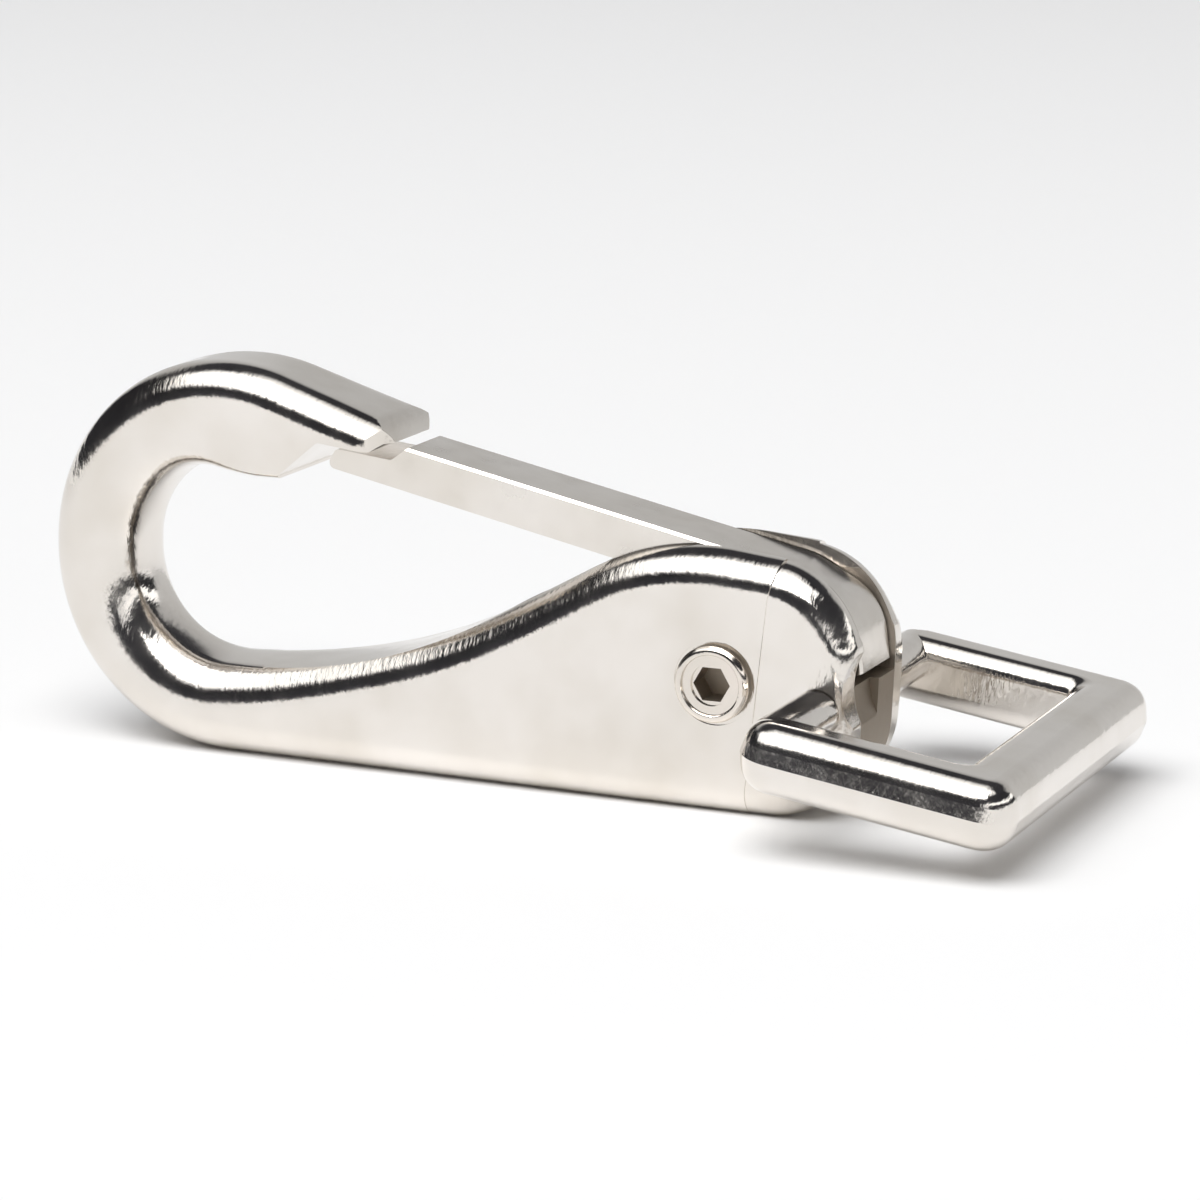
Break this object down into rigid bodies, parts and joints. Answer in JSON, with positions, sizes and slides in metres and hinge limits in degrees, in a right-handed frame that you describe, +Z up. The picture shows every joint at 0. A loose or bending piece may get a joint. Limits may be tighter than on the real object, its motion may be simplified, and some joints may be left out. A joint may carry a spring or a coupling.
{
  "type": "snap hook with strap loop",
  "caption": "Cast metal hook with a sprung pivoting gate closing its mouth and a swinging rectangular loop at the tail for a flat strap.",
  "frame": {"origin": "centre of the whole object's footprint, on the plane that the hook's flat underside stands on", "axes": "+X from the hook's bend towards the strap loop, +Y across the hook towards the screw head, +Z up through the nose"},
  "size_m": [0.0836, 0.0364, 0.0307],
  "materials": {
    "nickel_body": "polished nickel plate over a casting",
    "nickel_gate": "polished nickel plate",
    "nickel_pin": "bright nickel plate, turned",
    "spring_wire": "drawn spring wire",
    "nickel_loop": "polished nickel plate over a casting"
  },
  "bodies": {
    "hook": {"hook_body": "nickel_body", "pivot_barrel": "nickel_pin", "pivot_screw": "nickel_pin", "gate_spring": "spring_wire"},
    "gate": {"gate": "nickel_gate"},
    "loop": {"strap_loop": "nickel_loop"}
  },
  "joints": [
    {"name": "gate_pivot", "type": "hinge", "parent": "hook", "child": "gate", "pos_m": [0.01519, 0, 0.01], "axis": [0, -1, 0], "range_deg": [0, 18], "stiffness_Nm_per_rad": 0.3, "springref_deg": -20.05, "deforming": ["gate_spring"]},
    {"name": "loop_pivot", "type": "hinge", "parent": "hook", "child": "loop", "pos_m": [0.02319, 0, 0.00835], "axis": [0, -1, 0], "range_deg": [-120, 125]}
  ]
}
